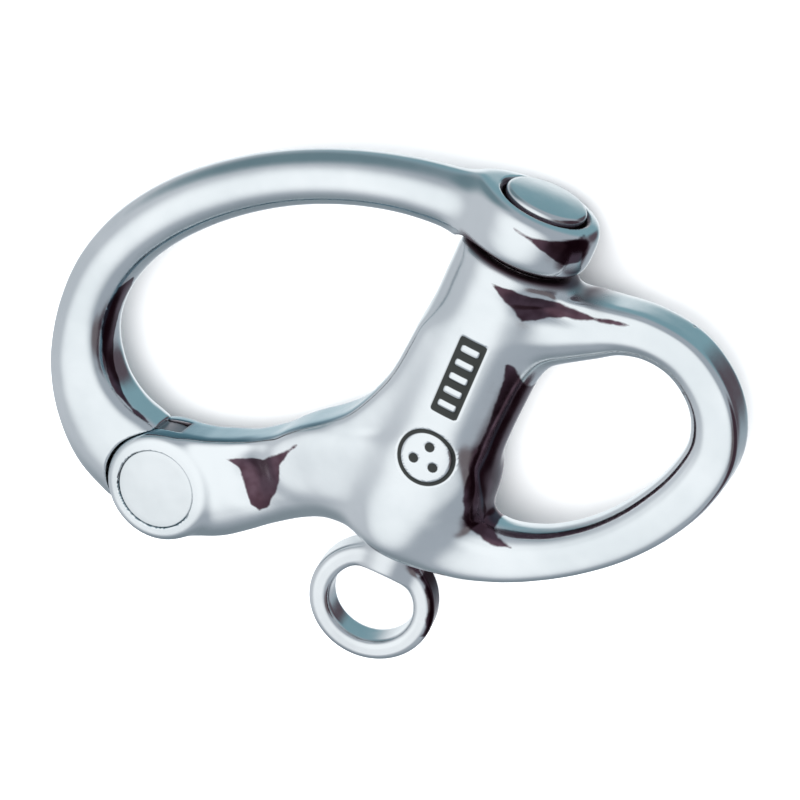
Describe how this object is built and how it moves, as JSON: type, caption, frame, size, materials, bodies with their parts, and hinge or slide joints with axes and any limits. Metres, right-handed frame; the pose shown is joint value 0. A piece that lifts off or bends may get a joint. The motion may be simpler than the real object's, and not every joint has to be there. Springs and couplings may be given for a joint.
{
  "type": "snap shackle",
  "caption": "Fixed-eye snap shackle with a swinging gate bail, a sprung latch plunger in the barrel and a swivelling pull ring, in polished stainless steel.",
  "frame": {"origin": "middle of the fixed eye's hole, in the shackle's mid-plane", "axes": "+X from the gate's side towards the fixed eye, +Y up the plunger's axis from the pull ring to the latch, +Z out of the flat of the shackle"},
  "size_m": [0.0659, 0.0513, 0.0115],
  "materials": {
    "forged_steel": "mirror-polished forged stainless steel",
    "pin_steel": "polished turned stainless steel",
    "ring_steel": "polished cast stainless steel",
    "spring_wire": "drawn stainless spring wire"
  },
  "bodies": {
    "frame": {"body": "forged_steel", "gate_rivet": "pin_steel", "plunger_spring": "spring_wire"},
    "gate": {"gate": "forged_steel"},
    "plunger": {"plunger_pin": "pin_steel"},
    "pull_ring": {"pull_ring": "ring_steel"}
  },
  "joints": [
    {"name": "gate_hinge", "type": "hinge", "parent": "frame", "child": "gate", "pos_m": [-0.0363, -0.0247, 0], "axis": [0, 0, 1], "range_deg": [0, 100]},
    {"name": "plunger_slide", "type": "slide", "parent": "frame", "child": "plunger", "axis": [0, -1, 0], "range_m": [0, 0.0063], "stiffness_N_per_m": 800, "springref_m": -0.01, "deforming": ["plunger_spring"]},
    {"name": "ring_swivel", "type": "hinge", "parent": "plunger", "child": "pull_ring", "pos_m": [-0.0129, -0.0249, 0], "axis": [0, 1, 0], "continuous": true}
  ]
}
